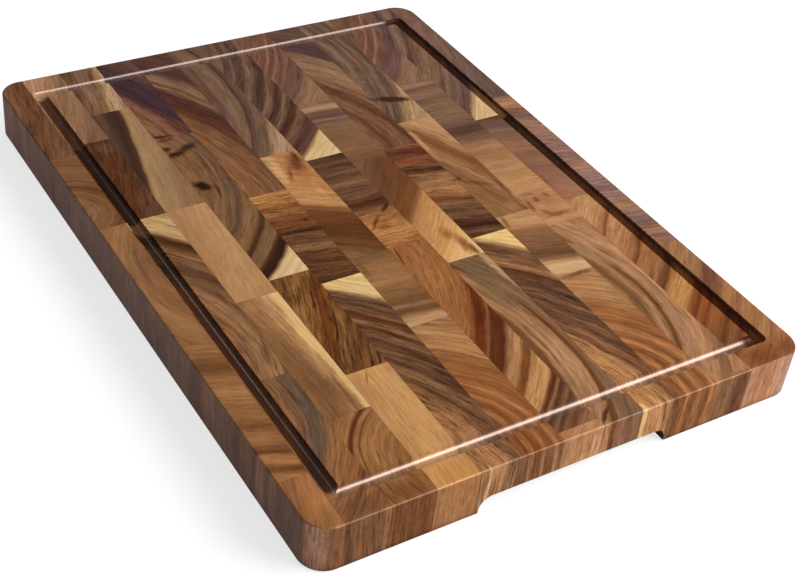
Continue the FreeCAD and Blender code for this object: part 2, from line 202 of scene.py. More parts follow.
# row i ------------------------------------------------------------
block("row_i_block_1", (540, 775),
      [(650, (98, 72, 60)), (612, (84, 58, 56)), (582, (80, 54, 54)), (571, (104, 78, 62)), (558, (136, 102, 78)), (522, (142, 106, 80)), (494, (136, 100, 74)), (480, (114, 80, 58)), (471, (130, 94, 68)), (461, (104, 72, 52)), (449, (92, 60, 42)), (439, (102, 64, 46)), (429, (120, 82, 60)), (412, (122, 82, 60)), (399, (110, 72, 52)), (390, (94, 58, 40)), (380, (118, 78, 56)), (362, (130, 88, 62))],
      coarse=0.12, fine=0.228, line=0.264, warp=6)
block("row_i_block_2", straight(750, 362, -76),
      along(362, [(575, (128, 85, 57)), (588, (97, 57, 39)), (606, (84, 46, 31)), (620, (117, 71, 49)), (642, (122, 65, 43)), (658, (111, 73, 49)), (672, (76, 46, 29)), (682, (87, 55, 35)), (694, (134, 93, 63)), (722, (146, 103, 67)), (764, (150, 105, 67)), (784, (128, 81, 49)), (797, (95, 55, 35)), (812, (117, 81, 55)), (838, (97, 65, 43)), (858, (109, 75, 55)), (878, (80, 48, 33)), (894, (58, 33, 24)), (906, (87, 59, 43)), (916, (101, 71, 49)), (928, (82, 53, 33))]),
      coarse=0.2, fine=0.29, line=0.42, cross=0.2, warp=6)
block("row_i_block_3", (1507, 840),
      [(780, (227, 189, 122)), (726, (225, 185, 120)), (718, (167, 126, 84)), (710, (110, 76, 51)), (692, (102, 67, 47)), (676, (119, 82, 55)), (656, (148, 105, 69)), (648, (131, 88, 57)), (641, (76, 46, 29)), (632, (87, 57, 39)), (618, (106, 71, 51)), (602, (87, 59, 43)), (586, (119, 82, 57)), (570, (89, 59, 43)), (552, (112, 76, 53)), (534, (93, 61, 43)), (520, (134, 90, 61)), (506, (110, 69, 45)), (494, (161, 113, 73)), (470, (174, 122, 78)), (440, (165, 113, 71))],
      coarse=0.2, fine=0.306, line=0.48, cross=0.18, warp=6, edge=(1.18, 1.24, 1.34),
      spots=((1502, 401, 24, 8, 0, (218, 168, 112), 0.5),))
# row j ------------------------------------------------------------
block("row_j_block_1", (170, 917),
      [(760, (172, 134, 96)), (708, (164, 128, 92)), (698, (140, 106, 78)), (689, (104, 78, 60)), (677, (94, 70, 56)), (668, (118, 90, 72)), (656, (98, 74, 60)), (648, (118, 92, 66)), (638, (96, 70, 58)), (628, (114, 88, 74)), (616, (126, 96, 78)), (604, (100, 72, 60)), (592, (114, 84, 68))],
      coarse=0.14, fine=0.2, line=0.4, warp=5,
      spots=((394, 277, 13, 50, 22, (64, 40, 32), 0.5), (75, 268, 20, 26, 0, (84, 60, 50), 1.0), (300, 300, 6, 5, 0, (150, 108, 84), 0.8)))
block("row_j_block_2", straight(605, 262, -26, 1400),
      [(500, 232, (182, 138, 100)), (585, 250, (176, 130, 92)), (596, 258, (160, 114, 78)), (606, 268, (126, 82, 54)), (618, 280, (120, 76, 48)), (632, 292, (142, 98, 66)), (660, 300, (158, 112, 76)), (720, 290, (132, 90, 60)), (760, 290, (126, 84, 56)), (800, 295, (138, 96, 64)), (860, 300, (136, 94, 60))],
      coarse=0.10, fine=0.168, line=0.12, warp=7,
      spots=((765, 282, 46, 9, -58, (112, 70, 46), 0.9), (735, 312, 9, 8, 0, (96, 54, 30), 0.7), (800, 240, 60, 7, 2, (110, 70, 42), 0.9), (580, 312, 80, 7, 0, (180, 130, 90), 0.8), (870, 262, 24, 22, 0, (150, 108, 70), 1.0)))
block("row_j_block_3", straight(1000, 275, -77),
      along(275, [(880, (176, 128, 90)), (915, (184, 138, 98)), (936, (172, 124, 86)), (950, (142, 100, 68)), (985, (130, 90, 62)), (1015, (120, 82, 54)), (1042, (96, 66, 44)), (1056, (124, 88, 60)), (1068, (172, 130, 90)), (1084, (200, 160, 114)), (1106, (198, 156, 112)), (1116, (170, 128, 90))]),
      coarse=0.07, fine=0.114, line=0.12, warp=5,
      spots=((912, 310, 30, 7, 12, (138, 94, 54), 0.8),))
block("row_j_block_4", (1463, 466),
      [(420, (155, 109, 69)), (352, (167, 118, 77)), (318, (165, 116, 75)), (302, (151, 103, 63)), (290, (144, 91, 54)), (270, (151, 97, 58)), (254, (136, 87, 50)), (240, (155, 101, 60)), (232, (177, 120, 77)), (224, (142, 89, 52)), (216, (124, 78, 44)), (209, (146, 95, 56)), (203, (177, 120, 77)), (194, (134, 83, 46)), (184, (116, 72, 40)), (178, (151, 97, 58)), (171, (169, 113, 69)), (160, (124, 76, 42)), (140, (149, 97, 58))],
      coarse=0.14, fine=0.18, line=0.3, warp=5,
      spots=((1118, 275, 7, 44, 0, (114, 78, 50), 0.7), (1190, 260, 46, 22, -6, (175, 128, 84), 1.0)))
# row k ------------------------------------------------------------
block("row_k_block_1", (-200, 799),
      [(596, (110, 78, 62)), (616, (112, 80, 62))] + along(188, [(-30, (112, 80, 62)), (25, (104, 72, 58)), (62, (120, 84, 66)), (90, (110, 74, 58)), (110, (116, 78, 60)), (115, (148, 106, 84)), (125, (116, 76, 58)), (145, (110, 72, 56)), (160, (120, 82, 66)), (168, (146, 106, 86)), (177, (112, 76, 62)), (196, (114, 76, 62)), (211, (104, 70, 62)), (231, (102, 72, 66)), (278, (104, 78, 66)), (290, (130, 96, 74)), (312, (136, 100, 78)), (343, (140, 104, 78)), (360, (124, 90, 70)), (383, (134, 98, 74)), (410, (134, 98, 74))]),
      coarse=0.14, fine=0.128, line=0.25, warp=4)
block("row_k_block_2", straight(470, 188, -88),
      along(188, [(345, (122, 88, 66)), (351, (136, 100, 78)), (360, (150, 114, 92)), (368, (128, 96, 76)), (376, (106, 76, 58)), (386, (116, 86, 66)), (402, (126, 95, 72)), (414, (130, 98, 80)), (428, (108, 80, 60)), (444, (122, 92, 68)), (480, (124, 94, 70)), (520, (122, 90, 70)), (545, (108, 80, 64)), (562, (90, 64, 50)), (584, (86, 60, 48)), (598, (112, 82, 64)), (608, (120, 88, 68))]),
      coarse=0.08, fine=0.153, line=0.144, warp=4)
block("row_k_block_3", straight(780, 188, -86),
      along(188, [(598, (107, 78, 60)), (618, (122, 89, 68)), (634, (144, 103, 76)), (655, (161, 114, 81)), (672, (151, 101, 68)), (690, (161, 114, 80)), (730, (169, 122, 85)), (790, (180, 132, 87)), (840, (177, 128, 87)), (890, (171, 120, 81)), (940, (175, 126, 87)), (962, (178, 132, 91))]),
      coarse=0.06, fine=0.102, line=0.096, warp=8,
      spots=((866, 178, 15, 15, 0, (155, 109, 70), 1.0), (868, 200, 11, 7, 0, (146, 95, 58), 0.9), (926, 198, 15, 30, 4, (153, 105, 70), 1.0), (885, 226, 22, 7, 8, (142, 93, 58), 1.0), (893, 203, 12, 10, 0, (180, 134, 91), 1.0), (868, 198, 12, 8, 0, (126, 83, 54), 1.0), (862, 168, 12, 6, -20, (124, 80, 50), 1.0), (930, 182, 7, 34, -6, (128, 83, 52), 0.9), (915, 206, 18, 7, -30, (128, 83, 54), 1.0), (884, 224, 26, 6, 6, (120, 78, 47), 1.0), (846, 205, 6, 20, 10, (136, 89, 58), 1.0)))
block("row_k_block_4", (1196, 583),
      [(330, (146, 104, 72)), (350, (150, 106, 74)), (360, (124, 86, 56)), (368, (110, 74, 44)), (376, (130, 90, 62)), (384, (156, 114, 82)), (393, (148, 106, 72)), (398, (104, 66, 36)), (404, (110, 70, 40)), (409, (156, 112, 80)), (421, (168, 122, 88)), (432, (150, 108, 76)), (441, (178, 128, 90)), (455, (170, 124, 86)), (468, (152, 106, 72)), (476, (140, 98, 66)), (482, (124, 84, 56)), (488, (140, 98, 68)), (494, (158, 112, 76)), (520, (160, 112, 76))],
      coarse=0.12, fine=0.18, line=0.3, warp=5, edge=(0.97, 0.93, 0.9),
      spots=((1503, 166, 13, 30, 0, (110, 68, 48), 0.9), (1000, 196, 60, 30, -30, (168, 124, 88), 1.0), (1090, 176, 50, 5, -16, (128, 92, 64), 0.9), (1030, 212, 44, 4, -32, (134, 96, 66), 0.9), (990, 165, 44, 30, -20, (164, 120, 84), 1.0), (1070, 210, 66, 18, -22, (160, 118, 82), 0.8)))
# row l ------------------------------------------------------------
block("row_l_block_1", (-275, 1282),
      [(1470, (214, 176, 126)), (1406, (206, 168, 118)), (1399, (160, 124, 92)), (1391, (104, 78, 66)), (1374, (94, 68, 60)), (1362, (118, 88, 74)), (1351, (96, 70, 60)), (1341, (136, 104, 84)), (1331, (100, 74, 62)), (1317, (118, 88, 66)), (1300, (128, 98, 74)), (1284, (116, 86, 66)), (1270, (106, 76, 62)), (1262, (82, 56, 48)), (1253, (112, 84, 68)), (1241, (126, 98, 78)), (1229, (96, 72, 64)), (1215, (90, 70, 66)), (1203, (108, 80, 68)), (1185, (112, 82, 68))],
      coarse=0.14, fine=0.186, line=0.3, warp=4)
block("row_l_block_2", straight(720, 105, -80),
      along(105, [(545, (84, 58, 40)), (556, (96, 68, 50)), (572, (104, 76, 60)), (592, (106, 78, 66)), (606, (128, 98, 82)), (620, (118, 86, 70)), (642, (132, 94, 74)), (692, (140, 100, 76)), (704, (128, 90, 70)), (750, (134, 96, 74)), (772, (124, 86, 70)), (810, (144, 100, 78)), (850, (152, 104, 80)), (895, (152, 106, 80))]),
      coarse=0.07, fine=0.086, line=0.12, warp=5,
      spots=((800, 136, 90, 5, 0, (128, 86, 58), 0.9),))
block("row_l_block_3", straight(1190, 110, 47, 2200),
      along(110, [(880, (164, 118, 82)), (925, (183, 135, 92)), (960, (176, 127, 86)), (985, (164, 114, 76)), (997, (145, 95, 61)), (1003, (120, 74, 48)), (1010, (166, 116, 78)), (1050, (170, 120, 80)), (1078, (162, 108, 69)), (1098, (137, 87, 53)), (1110, (104, 59, 34)), (1118, (147, 97, 61)), (1136, (158, 106, 69)), (1154, (141, 93, 57)), (1174, (154, 104, 69)), (1190, (114, 70, 42)), (1204, (95, 55, 32)), (1214, (154, 103, 59)), (1232, (185, 133, 78)), (1252, (187, 133, 80)), (1270, (174, 120, 69)), (1284, (131, 78, 42)), (1300, (102, 53, 29)), (1314, (143, 84, 46)), (1330, (112, 59, 32)), (1346, (145, 89, 50)), (1364, (125, 76, 42)), (1388, (102, 57, 32)), (1404, (137, 87, 55)), (1424, (108, 63, 38)), (1450, (154, 103, 65)), (1500, (145, 93, 57))]),
      coarse=0.10, fine=0.14, line=0.3, warp=4, edge=(2.0, 2.65, 4.55),
      spots=((1478, 100, 34, 60, 0, (118, 66, 36), 0.9),))
# row m ------------------------------------------------------------
block("row_m_block_1", straight(240, 27, 14),
      [(240, -40, (99, 79, 69)), (240, -6, (103, 81, 71)), (240, 10, (115, 89, 79)), (240, 20, (107, 79, 67)), (240, 30, (126, 94, 79)), (240, 42, (113, 85, 73)), (240, 56, (124, 89, 75)), (240, 90, (111, 83, 71))],
      coarse=0.12, fine=0.168, line=0.25)
block("row_m_block_2", straight(640, 27, -76),
      along(27, [(470, (124, 92, 74)), (490, (140, 104, 82)), (512, (160, 116, 82)), (530, (156, 110, 80)), (548, (130, 92, 76)), (572, (120, 88, 78)), (604, (142, 108, 86)), (640, (152, 108, 86)), (668, (138, 106, 90)), (720, (142, 104, 90)), (760, (136, 100, 90)), (790, (142, 104, 88))]),
      coarse=0.14, fine=0.2, line=0.3, cross=0.1)
block("row_m_block_3", straight(950, 27, -80),
      along(27, [(788, (158, 112, 90)), (815, (150, 112, 94)), (850, (142, 106, 92)), (885, (134, 104, 94)), (896, (116, 86, 78)), (908, (142, 108, 92)), (940, (136, 104, 90)), (962, (158, 114, 84)), (984, (140, 106, 90)), (1010, (126, 96, 84)), (1036, (118, 88, 76)), (1056, (152, 110, 84)), (1086, (140, 102, 84)), (1100, (128, 92, 76)), (1112, (150, 106, 76))]),
      coarse=0.12, fine=0.195, line=0.24, cross=0.08)
block("row_m_block_4", straight(1300, 27, 42),
      along(27, [(1090, (145, 102, 72)), (1140, (156, 111, 77)), (1190, (151, 107, 75)), (1212, (138, 95, 68)), (1224, (107, 67, 52)), (1262, (114, 73, 55)), (1278, (145, 98, 66)), (1310, (155, 104, 68)), (1330, (138, 91, 61)), (1356, (162, 113, 74)), (1376, (147, 98, 63)), (1400, (164, 116, 77)), (1432, (145, 96, 61)), (1460, (156, 106, 70)), (1510, (144, 95, 64))]),
      coarse=0.10, line=0.25, edge=(1.98, 2.95, 5.7),
      spots=((1480, 30, 40, 40, 0, (125, 76, 48), 0.9),))

# ------------------------------------------------------------------ node helpers


class Tree:
    """Thin wrapper that makes a node tree read like arithmetic."""

    def __init__(self, tree):
        self.t = tree

    def node(self, kind, **props):
        n = self.t.nodes.new(kind)
        for k, v in props.items():
            setattr(n, k, v)
        return n

    def put(self, socket, value):
        if isinstance(value, bpy.types.NodeSocket):
            self.t.links.new(value, socket)
        elif value is not None:
            socket.default_value = value

    def math(self, op, a, b=None, c=None, clamp=False):
        n = self.node("ShaderNodeMath", operation=op, use_clamp=clamp)
        for i, v in enumerate((a, b, c)):
            self.put(n.inputs[i], v)
        return n.outputs[0]

    def vmath(self, op, a, b=None, scale=None):
        n = self.node("ShaderNodeVectorMath", operation=op)
        self.put(n.inputs[0], a)
        self.put(n.inputs[1], b)
        if scale is not None:
            self.put(n.inputs["Scale"], scale)
        return n.outputs["Value"] if op in ("LENGTH", "DOT_PRODUCT", "DISTANCE") else n.outputs["Vector"]

    def combine(self, x, y, z):
        n = self.node("ShaderNodeCombineXYZ")
        for s, v in zip(n.inputs, (x, y, z)):
            self.put(s, v)
        return n.outputs[0]

    def separate(self, v):
        n = self.node("ShaderNodeSeparateXYZ")
        self.put(n.inputs[0], v)
        return n.outputs

    def noise(self, vector, scale=1.0, detail=2.0, rough=0.5, colour=False, lacunarity=2.0):
        n = self.node("ShaderNodeTexNoise", noise_dimensions="3D")
        self.put(n.inputs["Vector"], vector)
        n.inputs["Scale"].default_value = scale
        n.inputs["Detail"].default_value = detail
        n.inputs["Roughness"].default_value = rough
        n.inputs["Lacunarity"].default_value = lacunarity
        return n.outputs["Color"] if colour else n.outputs["Fac"]

    def remap(self, v, a, b, c=0.0, d=1.0, smooth=True):
        n = self.node("ShaderNodeMapRange", interpolation_type="SMOOTHSTEP" if smooth else "LINEAR", clamp=True)
        self.put(n.inputs["Value"], v)
        for name, x in (("From Min", a), ("From Max", b), ("To Min", c), ("To Max", d)):
            self.put(n.inputs[name], x)
        return n.outputs["Result"]

    def mix(self, fac, a, b):
        n = self.node("ShaderNodeMix", data_type="RGBA", blend_type="MIX")
        self.put(n.inputs[0], fac)
        self.put(n.inputs[6], a)
        self.put(n.inputs[7], b)
        return n.outputs[2]


SHEEN = 0.0070        # what the satin finish adds to every tone under this light
GAIN = 0.925           # how much light falls on the top


def lin(c):
    """A tone as it should look on the lit top, turned into the wood's own colour."""
    out = []
    for v in c:
        v = v / 255.0
        v = v / 12.92 if v <= 0.04045 else ((v + 0.055) / 1.055) ** 2.4
        out.append(max(v - SHEEN, v * 0.25) / GAIN)
    return tuple(out) + (1.0,)


def group(name, ins, outs):
    g = bpy.data.node_groups.new(name, "ShaderNodeTree")
    for n, kind, d in ins:
        s = g.interface.new_socket(n, in_out="INPUT", socket_type=kind)
        if d is not None:
            s.default_value = d
    for n, kind in outs:
        g.interface.new_socket(n, in_out="OUTPUT", socket_type=kind)
    t = Tree(g)
    return g, t, t.node("NodeGroupInput").outputs, t.node("NodeGroupOutput").inputs


F, V, C = "NodeSocketFloat", "NodeSocketVector", "NodeSocketColor"

# ---- where a point lies among the growth rings -------------------
g_field, t, i, o = group("ring_field",
    [("Centre", V, (0, 0, 0)), ("Toward", V, (1, 0, 0)), ("Reach", F, 100.0), ("Warp", F, 1.5), ("Lean", V, (0, 0, 0)), ("Seed", V, (0, 0, 0))],
    [("Radius", F), ("Arc", F), ("Place", V)])
place = t.vmath("SCALE", t.node("ShaderNodeTexCoord").outputs["Object"], scale=1000.0)      # millimetres
px, py, pz = t.separate(place)
seeded = t.vmath("ADD", t.combine(px, py, t.math("MULTIPLY", pz, 0.16)), i["Seed"])
w1 = t.vmath("SUBTRACT", t.noise(seeded, scale=0.035, detail=1.0, colour=True), (0.5, 0.5, 0.5))
w2 = t.vmath("SUBTRACT", t.noise(seeded, scale=0.16, detail=2.0, colour=True), (0.5, 0.5, 0.5))
shift = t.vmath("ADD", t.vmath("SCALE", w1, scale=t.math("MULTIPLY", i["Warp"], 2.2)), t.vmath("SCALE", w2, scale=t.math("MULTIPLY", i["Warp"], 0.7)))
lean = t.vmath("SCALE", i["Lean"], scale=pz)
q = t.vmath("ADD", t.vmath("ADD", place, shift), lean)
d = t.vmath("MULTIPLY", t.vmath("SUBTRACT", q, i["Centre"]), (1, 1, 0))
ahead = t.vmath("DOT_PRODUCT", d, i["Toward"])
aside_dir = t.node("ShaderNodeVectorRotate", rotation_type="Z_AXIS")
t.put(aside_dir.inputs["Vector"], i["Toward"]); aside_dir.inputs["Angle"].default_value = math.pi / 2
aside = t.vmath("DOT_PRODUCT", d, aside_dir.outputs[0])
t.put(o["Radius"], t.vmath("LENGTH", d))
t.put(o["Arc"], t.math("MULTIPLY", t.math("ARCTAN2", aside, ahead), i["Reach"]))
t.put(o["Place"], place)

# ---- a soft-edged spot (knot, stain, pocket of sapwood) ----------
g_spot, t, i, o = group("spot",
    [("Colour", C, (1, 1, 1, 1)), ("Place", V, (0, 0, 0)), ("Centre", V, (0, 0, 0)), ("Turn", F, 0.0), ("Length", F, 10.0), ("Width", F, 5.0), ("Spot", C, (0, 0, 0, 1)), ("Soft", F, 0.6), ("Seed", V, (0, 0, 0))],
    [("Colour", C)])
wob = t.vmath("SUBTRACT", t.noise(t.vmath("ADD", t.vmath("MULTIPLY", i["Place"], (1, 1, 0.2)), i["Seed"]), scale=0.22, detail=3.0, rough=0.6, colour=True), (0.5, 0.5, 0.5))
dd = t.vmath("SUBTRACT", t.vmath("ADD", i["Place"], t.vmath("SCALE", wob, scale=t.math("MINIMUM", t.math("MULTIPLY", i["Width"], 1.0), 6.0))), i["Centre"])
r = t.node("ShaderNodeVectorRotate", rotation_type="Z_AXIS")
t.put(r.inputs["Vector"], dd); t.put(r.inputs["Angle"], t.math("MULTIPLY", i["Turn"], -1.0))
rx, ry, rz = t.separate(r.outputs[0])
far = t.vmath("LENGTH", t.combine(t.math("DIVIDE", rx, i["Length"]), t.math("DIVIDE", ry, i["Width"]), 0.0))
mask = t.remap(far, t.math("SUBTRACT", 1.0, i["Soft"]), t.math("ADD", 1.0, t.math("MULTIPLY", i["Soft"], 0.35)), 1.0, 0.0)
t.put(o["Colour"], t.mix(mask, i["Colour"], i["Spot"]))

# ---- figure, pores, joints and the finished surface --------------
g_surf, t, i, o = group("end_grain_surface",
    [("Colour", C, (0.5, 0.3, 0.2, 1)), ("Radius", F, 0.0), ("Arc", F, 0.0), ("Place", V, (0, 0, 0)), ("Seed", V, (0, 0, 0)),
     ("Coarse", F, 0.15), ("Fine", F, 0.15), ("Line", F, 0.25), ("Cross", F, 0.05), ("Low", V, (-1e3, -1e3, 0)), ("High", V, (1e3, 1e3, 0)),
     ("Inner", V, (200, 150, 0)), ("Top", F, 36.0), ("SideToneAndSheen", V, (1, 1, 1))],
    [("BSDF", "NodeSocketShader")])
x, y, z = t.separate(i["Place"])


def grain(su, sa, sz, detail, rough, off):
    """Noise drawn out along the rings: su across them, sa along them, sz down the block, in millimetres."""
    v = t.combine(t.math("DIVIDE", i["Radius"], su), t.math("DIVIDE", i["Arc"], sa), t.math("DIVIDE", z, sz))
    return t.noise(t.vmath("ADD", v, t.vmath("ADD", i["Seed"], (off, off * 0.7, off * 1.3))), detail=detail, rough=rough)


n_broad = grain(5.5, 34.0, 60.0, 2.0, 0.5, 3.1)
n_fine = grain(1.1, 11.0, 26.0, 3.0, 0.62, 7.7)
n_line = grain(3.4, 60.0, 120.0, 1.5, 0.5, 11.3)
n_hair = grain(0.42, 6.0, 18.0, 2.0, 0.6, 17.9)
ridge = t.math("ABSOLUTE", t.math("SUBTRACT", n_line, 0.5))
line = t.remap(ridge, 0.0, 0.030, 1.0, 0.0)
fade = t.remap(grain(14.0, 22.0, 60.0, 1.0, 0.5, 23.0), 0.42, 0.60)
# crisp streaks that follow the rings
n_streak = t.remap(grain(1.9, 26.0, 45.0, 2.5, 0.55, 29.3), 0.40, 0.60)
n_dark = t.remap(grain(2.6, 38.0, 70.0, 3.0, 0.6, 37.1), 0.52, 0.68)
# rays run across the rings
ray_v = t.combine(t.math("DIVIDE", i["Radius"], 9.0), t.math("DIVIDE", i["Arc"], 0.9), t.math("DIVIDE", z, 9.0))
n_ray = t.noise(t.vmath("ADD", ray_v, i["Seed"]), detail=2.0, rough=0.55)
cross_v = t.combine(t.math("DIVIDE", i["Radius"], 2.6), t.math("DIVIDE", i["Arc"], 3.2), t.math("DIVIDE", z, 40.0))
n_cross = t.noise(t.vmath("ADD", cross_v, i["Seed"]), detail=3.0, rough=0.65)
# cloudy drift of tone over the whole block
cloud = t.noise(t.vmath("ADD", t.vmath("MULTIPLY", i["Place"], (1, 1, 0.3)), i["Seed"]), scale=0.045, detail=2.0, rough=0.55)
# pores: scattered dots on the end grain, drawn out into short lines down the sides
pv = t.node("ShaderNodeTexVoronoi", voronoi_dimensions="3D", feature="F1", distance="EUCLIDEAN")
t.put(pv.inputs["Vector"], t.vmath("ADD", t.vmath("MULTIPLY", i["Place"], (1.0, 1.0, 0.045)), i["Seed"])); pv.inputs["Scale"].default_value = 1.55
pore = t.math("MULTIPLY", t.remap(pv.outputs["Distance"], 0.10, 0.25, 1.0, 0.0), t.remap(t.separate(pv.outputs["Color"])[0], 0.35, 0.6))
halo = t.remap(pv.outputs["Distance"], 0.22, 0.55, 1.0, 0.0)


# down the sides the fibres show as fine upright streaks
face = t.separate(t.node("ShaderNodeNewGeometry").outputs["Normal"])
up_face = t.math("ABSOLUTE", face[2])
long_side = t.remap(t.math("ABSOLUTE", face[1]), 0.25, 0.85)
side = t.remap(up_face, 0.30, 0.60, 1.0, 0.0)
fib_v = t.combine(t.math("DIVIDE", x, 0.9), t.math("DIVIDE", y, 0.9), t.math("DIVIDE", z, 18.0))
fibre = t.noise(t.vmath("ADD", fib_v, i["Seed"]), detail=3.5, rough=0.62)
inn = t.separate(i["Inner"])
inside = t.math("MULTIPLY", t.math("LESS_THAN", t.math("ABSOLUTE", x), inn[0]), t.math("LESS_THAN", t.math("ABSOLUTE", y), inn[1]))


def around(n, k):
    """k times noise n re-centred on zero."""
    return t.math("MULTIPLY", t.math("SUBTRACT", n, 0.5), k)


f = t.math("ADD", 1.0, around(n_broad, t.math("MULTIPLY", i["Coarse"], 4.4)))
f = t.math("ADD", f, around(n_fine, t.math("MULTIPLY", i["Fine"], 5.6)))
f = t.math("ADD", f, around(n_hair, t.math("MULTIPLY", i["Fine"], 2.6)))
f = t.math("ADD", f, around(n_cross, t.math("MULTIPLY", i["Cross"], 4.6)))
f = t.math("ADD", f, around(n_streak, t.math("MULTIPLY", i["Fine"], 1.7)))
f = t.math("SUBTRACT", f, t.math("MULTIPLY", n_dark, t.math("MULTIPLY", i["Fine"], 1.3)))
f = t.math("ADD", f, t.math("MULTIPLY", i["Fine"], 0.30))
f = t.math("ADD", f, around(n_ray, 0.22))
f = t.math("ADD", f, t.math("MULTIPLY", around(fibre, t.math("ADD", 1.5, t.math("MULTIPLY", long_side, 1.2))), side))
stain = t.noise(t.vmath("ADD", t.vmath("MULTIPLY", i["Place"], (0.055, 0.055, 0.02)), i["Seed"]), detail=2.5, rough=0.6)
f = t.math("ADD", f, t.math("MULTIPLY", around(stain, 2.0), t.math("MULTIPLY", side, long_side)))
blotch = t.noise(t.vmath("ADD", t.vmath("MULTIPLY", i["Place"], (0.42, 0.42, 0.13)), i["Seed"]), detail=3.0, rough=0.65)
f = t.math("ADD", f, t.math("MULTIPLY", around(blotch, 1.3), side))
f = t.math("ADD", f, around(cloud, 0.28))
f = t.math("ADD", f, t.math("MULTIPLY", halo, 0.03))
# pale sapwood is much plainer than the heartwood
tone = t.separate(i["Colour"])
calm = t.remap(t.math("ADD", t.math("MULTIPLY", tone[0], 0.4), t.math("MULTIPLY", tone[1], 0.6)), 0.38, 0.58, 1.0, 0.38)
f = t.math("ADD", 1.0, t.math("MULTIPLY", t.math("SUBTRACT", f, 1.0), calm))
f = t.math("MULTIPLY", f, t.math("SUBTRACT", 1.0, t.math("MULTIPLY", t.math("MULTIPLY", t.math("MULTIPLY", line, fade), calm), i["Line"])))
f = t.math("MULTIPLY", f, t.math("SUBTRACT", 1.0, t.math("MULTIPLY", pore, 0.34)))
# painted shade: the finger recesses are darkened in colour because little light gets into them
under = t.math("MULTIPLY", t.remap(z, 11.2, 11.9, 1.0, 0.0), t.math("GREATER_THAN", z, 0.02))
under = t.math("MULTIPLY", under, t.remap(t.math("ABSOLUTE", y), 71.4, 72.2, 1.0, 0.0))
under = t.math("MULTIPLY", under, t.remap(t.math("ABSOLUTE", x), t.math("ADD", inn[0], 11.3), t.math("ADD", inn[0], 11.95), 1.0, 0.0))
# the rounded rims are painted a little paler, unevenly: partly rubbed wear, partly a painted highlight along the rims
rim_wear_and_highlight = t.math("MULTIPLY", t.remap(up_face, 0.15, 0.45), t.remap(up_face, 0.80, 0.97, 1.0, 0.0))
rim = t.math("MULTIPLY", rim_wear_and_highlight, t.math("SUBTRACT", 1.0, t.math("MAXIMUM", inside, under)))
rim_wear_and_highlight = t.math("MULTIPLY", rim, t.remap(cloud, 0.35, 0.60, 0.35, 1.0))
f = t.math("ADD", f, t.math("MULTIPLY", rim_wear_and_highlight, 0.16))
# painted shade: the upright faces are darkened over their lowest six millimetres, near the floor
painted_foot_shade = t.math("MULTIPLY", t.math("MULTIPLY", side, t.math("SUBTRACT", 1.0, inside)), t.remap(z, 0.5, 6.0, 1.0, 0.0))
f = t.math("MULTIPLY", f, t.math("SUBTRACT", 1.0, t.math("MULTIPLY", painted_foot_shade, 0.38)))
# painted shade in the finger recesses
f = t.math("MULTIPLY", f, t.math("SUBTRACT", 1.0, t.math("MULTIPLY", under, 0.80)))
# glue lines between neighbours
lo, hi = t.separate(i["Low"]), t.separate(i["High"])
gap = t.math("MINIMUM", t.math("MINIMUM", t.math("SUBTRACT", x, lo[0]), t.math("SUBTRACT", hi[0], x)),
             t.math("MINIMUM", t.math("SUBTRACT", y, lo[1]), t.math("SUBTRACT", hi[1], y)))
joint = t.remap(gap, 0.05, 0.30, 1.0, 0.0)
f = t.math("MULTIPLY", f, t.math("SUBTRACT", 1.0, t.math("MULTIPLY", joint, 0.32)))
# the routed groove is darkened in colour: a little everywhere for its oiled wood and the shade in it, and much more in
# the long grooves as painted shade, darkest on the bottom and the walls facing +Y
groove = t.math("MULTIPLY", inside, t.math("MULTIPLY", t.remap(t.math("SUBTRACT", i["Top"], z), 0.15, 1.2), t.math("GREATER_THAN", z, t.math("SUBTRACT", i["Top"], 6.0))))
long_way = t.remap(t.math("ABSOLUTE", y), t.math("SUBTRACT", inn[1], 24.0), t.math("SUBTRACT", inn[1], 17.0))
turn = t.math("MULTIPLY", t.remap(t.math("ABSOLUTE", x), t.math("SUBTRACT", inn[0], 17.5), t.math("SUBTRACT", inn[0], 14.0)), t.math("LESS_THAN", y, 0.0))
long_way = t.math("MULTIPLY", long_way, t.math("SUBTRACT", 1.0, turn))
f = t.math("MULTIPLY", f, t.math("SUBTRACT", 1.0, t.math("MULTIPLY", groove, t.math("ADD", 0.10, t.math("MULTIPLY", long_way, t.math("ADD", 0.50, t.remap(face[1], -0.55, 0.15, 0.0, 0.31)))))))
f = t.math("MINIMUM", t.math("MAXIMUM", f, 0.18), 1.9)
tint = t.combine(t.math("POWER", f, 0.86), f, t.math("POWER", f, 1.18))
# warm and cool patches
warm = around(t.noise(t.vmath("ADD", t.vmath("MULTIPLY", i["Place"], (1, 1, 0.25)), t.vmath("ADD", i["Seed"], (41, 7, 3))), scale=0.075, detail=2.0), 0.30)
tint = t.vmath("MULTIPLY", tint, t.combine(t.math("ADD", 1.0, t.math("MULTIPLY", warm, 0.5)), 1.0, t.math("SUBTRACT", 1.0, warm)))
outer = t.math("MULTIPLY", side, t.math("SUBTRACT", 1.0, inside))
# upright outer faces take their block's side multiplier: the long grain's own tone plus painted sheen
tint = t.vmath("MULTIPLY", tint, t.vmath("ADD", (1, 1, 1), t.vmath("SCALE", t.vmath("SUBTRACT", i["SideToneAndSheen"], (1, 1, 1)), scale=outer)))
# painted reflection: the rounded near-left corner is painted paler and bluish where the finish mirrors the bright floor
painted_corner_sheen = t.math("MULTIPLY", outer, t.math("MULTIPLY", t.remap(t.math("MULTIPLY", face[0], t.math("MULTIPLY", face[1], -1.0)), 0.15, 0.46), t.remap(face[1], -0.65, -0.25, 1.0, 0.45)))
tint = t.vmath("MULTIPLY", tint, t.vmath("ADD", (1, 1, 1), t.vmath("SCALE", (2.2, 3.1, 5.0), scale=painted_corner_sheen)))
